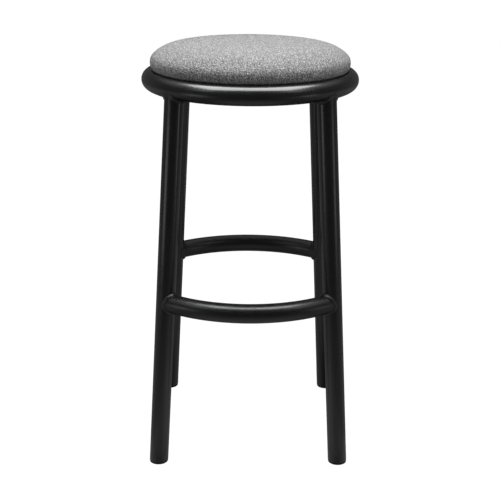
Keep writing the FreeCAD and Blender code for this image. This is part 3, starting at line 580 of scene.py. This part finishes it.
def inflate(obj):
    """Let the cover swell like cloth over foam, held where it turns under the cushion."""
    before = [(vertex.co.copy(), vertex.normal.copy()) for vertex in obj.data.vertices]
    held = obj.vertex_groups.new(name="held")
    low = CUSHION_WAIST - HELD_BELOW_WAIST
    for vertex in obj.data.vertices:
        if vertex.co.z < low:
            held.add([vertex.index], 1.0, "REPLACE")
    modifier = obj.modifiers.new("Cloth", "CLOTH")
    settings = modifier.settings
    settings.quality = 6
    settings.mass = 0.3
    settings.tension_stiffness = 40.0
    settings.compression_stiffness = 40.0
    settings.shear_stiffness = 20.0
    settings.bending_stiffness = 2.0
    settings.use_pressure = True
    settings.uniform_pressure_force = SIM_PRESSURE
    settings.vertex_group_mass = held.name
    settings.effector_weights.gravity = 0.0
    modifier.collision_settings.use_self_collision = False
    modifier.point_cache.frame_start = 1
    modifier.point_cache.frame_end = SIM_FRAMES
    for step in range(1, SIM_FRAMES + 1):
        bpy.context.scene.frame_set(step)
    apply_modifiers(obj)
    outwards = 1.0 if before[0][1].z > 0.0 else -1.0
    for vertex, (start, normal) in zip(obj.data.vertices, before):
        rise = (vertex.co - start).dot(normal) * outwards
        vertex.co = start + normal * outwards * min(SIM_RISE, max(-SIM_SINK, rise))
    bpy.context.scene.frame_set(1)
    obj.vertex_groups.clear()


def pleat_hem(obj):
    """Gather the hem under the board in uneven radial folds that fade out at the corner."""
    draw = random.Random(7)
    phases = [draw.uniform(-PLEAT_WANDER, PLEAT_WANDER) for _ in range(PLEATS)]
    corner, *_ = CUSHION_ARCS[-1]
    outer = corner.x
    for vertex in obj.data.vertices:
        radius = math.hypot(vertex.co.x, vertex.co.y)
        if vertex.co.z > CUSHION_BOTTOM + PLEAT_CEILING or radius > outer:
            continue
        turn = math.atan2(vertex.co.y, vertex.co.x) / (2.0 * math.pi) % 1.0 * PLEATS
        fold = math.sin(math.pi * ((turn + phases[int(turn) % PLEATS]) % 1.0)) ** 2
        share = min(1.0, (outer - radius) / PLEAT_FADE)
        vertex.co.z += fold * share * PLEAT_DEPTH


def close_underside(obj):
    """Close the cover with a disc that lies against the board, inside the hem."""
    mesh = bmesh.new()
    mesh.from_mesh(obj.data)
    rim = list(mesh.verts)[-CUSHION_SEGMENTS:]        # the lathe turns the hem's inner edge last
    for shrink, rise in UNDERSIDE_STEPS:
        inner = [
            mesh.verts.new((vertex.co.x * shrink, vertex.co.y * shrink, vertex.co.z + rise))
            for vertex in rim
        ]
        for step in range(CUSHION_SEGMENTS):
            after = (step + 1) % CUSHION_SEGMENTS
            mesh.faces.new((rim[step], inner[step], inner[after], rim[after]))
        rim = inner
    mesh.faces.new(rim)
    bmesh.ops.recalc_face_normals(mesh, faces=mesh.faces)
    mesh.to_mesh(obj.data)
    mesh.free()


def make_cushion():
    """The upholstered cushion: the cover inflated over its foam, with a gathered hem below.
    """
    swell = SIM_SWELL
    obj = lathe("cushion_cover", cushion_outline(swell), CUSHION_SEGMENTS)
    inflate(obj)
    pleat_hem(obj)
    close_underside(obj)
    smooth = obj.modifiers.new("Subdivision", "SUBSURF")
    smooth.levels = 1
    smooth.render_levels = 1
    apply_modifiers(obj)
    obj.data.materials.append(melange_weave())
    shade_smooth(obj)
    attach(obj, "root")
    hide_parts("seat_cover")


# ---------------------------------------------------------------- dust cover

DUST_RINGS = 26
DUST_SEGMENTS = 160
DUST_THICKNESS = 0.5 * MM
DUST_STAPLES = 20
DUST_SAG = 0.5 * MM
DUST_DROP = 0.05 * MM         # below the top of its CAD solid
DUST_RIM = 0.8                # of the radius, where the slack between the staples begins
DUST_SCALLOP = 0.6            # of the sag, at the rim midway between two staples
DUST_WAVES = 22.0             # per metre, in the slack of the middle


def make_dust_cover():
    """The thin sheet under the seat: stapled round its rim, and slack between the staples."""
    low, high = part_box("dust_cover")
    radius = (high[0] - low[0]) / 2.0
    top = high[2] - DUST_DROP
    outline = [Vector((radius * step / DUST_RINGS, top)) for step in range(DUST_RINGS + 1)]
    obj = lathe("dust_sheet", outline, DUST_SEGMENTS)
    for vertex in obj.data.vertices:
        share = math.hypot(vertex.co.x, vertex.co.y) / radius
        turn = math.atan2(vertex.co.y, vertex.co.x)
        slack = 0.5 + 0.5 * math.cos(DUST_STAPLES * turn)
        rim = max(0.0, (share - DUST_RIM) / (1.0 - DUST_RIM))
        wander = noise.noise(vertex.co * DUST_WAVES) * 0.5 + 0.5
        at_rim = rim * slack * DUST_SCALLOP
        in_middle = (1.0 - rim) * wander * min(1.0, 4.0 * (1.0 - share))
        vertex.co.z -= DUST_SAG * (at_rim + in_middle)
    thickness = obj.modifiers.new("Solidify", "SOLIDIFY")
    thickness.thickness = DUST_THICKNESS
    thickness.offset = 1.0
    apply_modifiers(obj)
    obj.data.materials.append(non_woven())
    shade_smooth(obj)
    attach(obj, "root")
    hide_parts("dust_cover")


# ---------------------------------------------------------------- studio

FLOOR_SIZE = 120.0
FLOOR_SHINE = 1.0             # what the floor gives of its own, so that no shadow greys it
FLOOR_DARK = 0.058
FLOOR_PALE = 0.062
OVERHEAD_HEIGHT = 1.33
OVERHEAD_Y = -0.125
OVERHEAD_WIDTH = 0.95
OVERHEAD_DEPTH = 0.58
OVERHEAD_RADIANCE = 9.0
FLOOR_LIGHT = [(0.55, 0.10, -0.75), (0.33, 0.12, -0.30)]     # (radius, radiance, y)
FLOOR_LIGHT_LIFT = 0.2 * MM   # of the first disc above the floor
FLOOR_LIGHT_STEP = 0.1 * MM   # from disc to disc

# Soft boxes beside the stool: how far away, how high, the height they face, and their size.
FILL_BOX = {"distance": 2.5, "lift": 1.5, "aim": 0.75, "width": 2.4, "height": 1.4}
KEY_BOX = {"distance": 1.25, "lift": 1.7, "aim": 0.6, "width": 0.55, "height": 0.42}
STRIP_BOX = {"distance": 1.35, "lift": 0.4, "aim": 0.4, "height": 0.4}
FILLS = [(-50.0, 1.5), (50.0, 1.85)]          # (azimuth, radiance)
KEYS = [(-54.0, 1.3), (54.0, 1.3)]
STRIPS = [("strip_left", -56.0, 1.0, 0.50), ("strip_right", 60.0, 0.8, 0.36)]     # and the width


def make_floor():
    """The floor that the stool stands on: dark paint that gives white light of its own."""
    bpy.ops.mesh.primitive_plane_add(size=FLOOR_SIZE, location=(0.0, 0.0, 0.0))
    floor = bpy.context.object
    floor.name = "floor"
    graph = MaterialGraph("floor_paint")
    tone = graph.noise(graph.place, 1.5, detail=3.0)
    colour = graph.ramp(tone, [(0.3, grey(FLOOR_DARK)), (0.7, grey(FLOOR_PALE))])
    shine = {"Emission_Color": (1.0, 1.0, 1.0, 1.0), "Emission_Strength": FLOOR_SHINE}
    floor.data.materials.append(graph.finish(Base_Color=colour, Roughness=0.9, **shine))
    floor.visible_glossy = False
    floor.visible_diffuse = False


def add_area_light(name, shape, size, energy, location):
    """An area light that no camera sees."""
    data = bpy.data.lights.new(name, "AREA")
    data.shape = shape
    data.size = size
    data.energy = energy
    light = bpy.data.objects.new(name, data)
    bpy.context.collection.objects.link(light)
    light.location = location
    light.visible_camera = False
    return light


def add_box_light(name, width, height, radiance, location, facing):
    """A soft box that shines along a direction."""
    energy = radiance * math.pi * width * height
    light = add_area_light(name, "RECTANGLE", width, energy, location)
    light.data.size_y = height
    light.rotation_euler = facing.to_track_quat("-Z", "Y").to_euler()
    return light


def add_side_light(name, azimuth, radiance, distance, lift, aim, width, height):
    """A soft box beside the stool; azimuth 0 is the camera's side, positive to the right."""
    turn = math.radians(azimuth)
    place = Vector((distance * math.sin(turn), -distance * math.cos(turn), lift))
    return add_box_light(name, width, height, radiance, place, Vector((0.0, 0.0, aim)) - place)


def make_overhead():
    """One broad soft box close above the seat, a little in front of it."""
    add_box_light(
        "overhead",
        OVERHEAD_WIDTH,
        OVERHEAD_DEPTH,
        OVERHEAD_RADIANCE,
        Vector((0.0, OVERHEAD_Y, OVERHEAD_HEIGHT)),
        Vector((0.0, 0.0, -1.0)),
    )


def make_fills():
    """Two wide weak lights for the cushion's side; the tubes do not mirror them."""
    for azimuth, radiance in FILLS:
        fill = add_side_light("fill", azimuth, radiance, **FILL_BOX)
        fill.visible_glossy = False


def make_keys():
    """Two weak soft boxes at the sides, higher than the seat."""
    for azimuth, radiance in KEYS:
        add_side_light("key", azimuth, radiance, **KEY_BOX)


def make_floor_light():
    """What the tubes see of the lit floor: brightest in front of the seat's shadow, and fading."""
    for step, (radius, radiance, y) in enumerate(FLOOR_LIGHT):
        energy = radiance * math.pi * math.pi * radius ** 2
        place = (0.0, y, FLOOR_LIGHT_LIFT + FLOOR_LIGHT_STEP * step)
        light = add_area_light("floor_light", "DISK", 2.0 * radius, energy, place)
        light.rotation_euler = (math.pi, 0.0, 0.0)


def make_strips():
    """Two low upright soft boxes that draw the bright lines along the legs."""
    for name, azimuth, radiance, width in STRIPS:
        add_side_light(name, azimuth, radiance, width=width, **STRIP_BOX)


# Greys of the world by a component of the direction looked in, from -1 to 1.
FLOOR_GLOW = [
    (-1.0, 0.13),
    (-0.75, 0.08),
    (-0.50, 0.06),
    (-0.39, 0.08),
    (-0.30, 0.09),
    (-0.22, 0.07),
    (0.0, 0.055),
    (0.34, 0.045),
    (0.6, 0.045),
]
SIDE_GLOW = [(-0.95, 0.055), (-0.35, 0.0), (0.35, 0.0), (0.95, 0.055)]
SKIRT_GLOW = [(-0.9, 0.16), (-0.3, 0.0), (0.3, 0.0), (0.9, 0.16)]
SKIRT_FADE = [(-0.8, 0.3), (-0.5, 1.0), (-0.32, 0.9), (-0.16, 0.0)]
EAVES_GLOW = [(-0.6, 0.3), (-0.25, 0.0), (0.25, 0.0), (0.6, 0.3)]
BACK_GLOW = [(0.0, 0.0), (0.45, 0.03), (1.0, 0.05)]
BACK_FADE = [(-0.75, 0.0), (-0.35, 1.0), (0.05, 1.0), (0.45, 0.1)]
CEILING_GLOW = [(-0.05, 0.0), (0.12, 0.32), (1.0, 0.40)]
CEILING_FADE = [(0.5, 0.0), (0.72, 0.8), (0.9, 1.0)]


def make_world():
    """A white world to the camera, and to all else a dark room that the tubes mirror.

    The room has a faint floor, sides, wall behind the stool and ceiling over its back, and its
    sides are brighter low down (the skirt) and high up (the eaves).
    """
    graph = WorldGraph("studio")
    room = graph.glow(graph.x, SIDE_GLOW)
    room = graph.blend("ADD", room, graph.glow(graph.z, FLOOR_GLOW))
    for across, glow, fade in (
        (graph.y, BACK_GLOW, BACK_FADE),
        (graph.y, CEILING_GLOW, CEILING_FADE),
        (graph.x, EAVES_GLOW, CEILING_FADE),
        (graph.x, SKIRT_GLOW, SKIRT_FADE),
    ):
        part = graph.blend("MULTIPLY", graph.glow(across, glow), graph.glow(graph.z, fade))
        room = graph.blend("ADD", room, part)
    by_camera = graph.add("ShaderNodeLightPath").outputs["Is Camera Ray"]
    seen = graph.blend("MIX", room, (*grey(1.0), 1.0), share=by_camera)
    graph.feed(graph.tree.nodes["Background"].inputs["Color"], seen)
    bpy.context.scene.world = graph.world


def make_studio():
    make_floor()
    make_overhead()
    make_fills()
    make_keys()
    make_floor_light()
    make_strips()
    make_world()
    bpy.context.scene.view_settings.view_transform = "Standard"


make_camera()
make_studio()
dress_frame()
make_cushion()
make_dust_cover()
